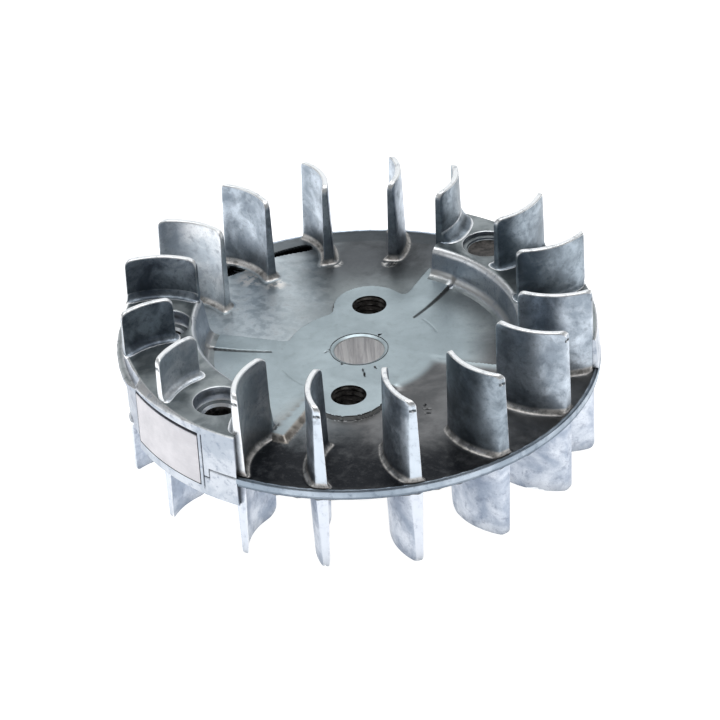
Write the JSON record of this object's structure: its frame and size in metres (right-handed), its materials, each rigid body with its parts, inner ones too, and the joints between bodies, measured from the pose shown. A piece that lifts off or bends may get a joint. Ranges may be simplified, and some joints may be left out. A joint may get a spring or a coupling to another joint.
{
  "type": "engine flywheel",
  "caption": "Cast fan flywheel of a small two-stroke engine, with curved blades on both faces, a magnet pad with a steel pole shoe, an opposite counterweight pad and a central bore.",
  "frame": {"origin": "on the wheel's axis, at the level of the lower blades' tips", "axes": "+Z along the wheel's axis, towards the machined hub face and the magnet pad; +X and +Y in the wheel's plane, with +X midway towards the counterweight side and the magnet pad centred near 202 degrees counter-clockwise from +X"},
  "size_m": [0.1, 0.1, 0.0383],
  "materials": {
    "cast_aluminium": "as cast, matt with dark stains",
    "machined_aluminium": "turned",
    "pole_steel": "ground",
    "magnet": "as sintered"
  },
  "bodies": {
    "root": {"hub": "machined_aluminium", "web_disc": "cast_aluminium", "magnet_housing": "cast_aluminium", "counterweight_pad": "cast_aluminium", "pole_shoe": "pole_steel", "magnet": "magnet", "upper_fin_01": "cast_aluminium", "lower_fin_01": "cast_aluminium", "upper_fin_02": "cast_aluminium", "lower_fin_02": "cast_aluminium", "upper_fin_03": "cast_aluminium", "lower_fin_03": "cast_aluminium", "upper_fin_04": "cast_aluminium", "lower_fin_04": "cast_aluminium", "upper_fin_05": "cast_aluminium", "lower_fin_05": "cast_aluminium", "upper_fin_06": "cast_aluminium", "lower_fin_06": "cast_aluminium", "upper_fin_07": "cast_aluminium", "lower_fin_07": "cast_aluminium", "upper_fin_08": "cast_aluminium", "lower_fin_08": "cast_aluminium", "upper_fin_09": "cast_aluminium", "lower_fin_09": "cast_aluminium", "upper_fin_10": "cast_aluminium", "lower_fin_10": "cast_aluminium", "upper_fin_11": "cast_aluminium", "lower_fin_11": "cast_aluminium", "upper_fin_12": "cast_aluminium", "lower_fin_12": "cast_aluminium", "upper_fin_13": "cast_aluminium", "lower_fin_13": "cast_aluminium", "upper_fin_14": "cast_aluminium", "lower_fin_14": "cast_aluminium", "upper_fin_15": "cast_aluminium", "lower_fin_15": "cast_aluminium", "upper_fin_16": "cast_aluminium", "lower_fin_16": "cast_aluminium"}
  },
  "joints": []
}
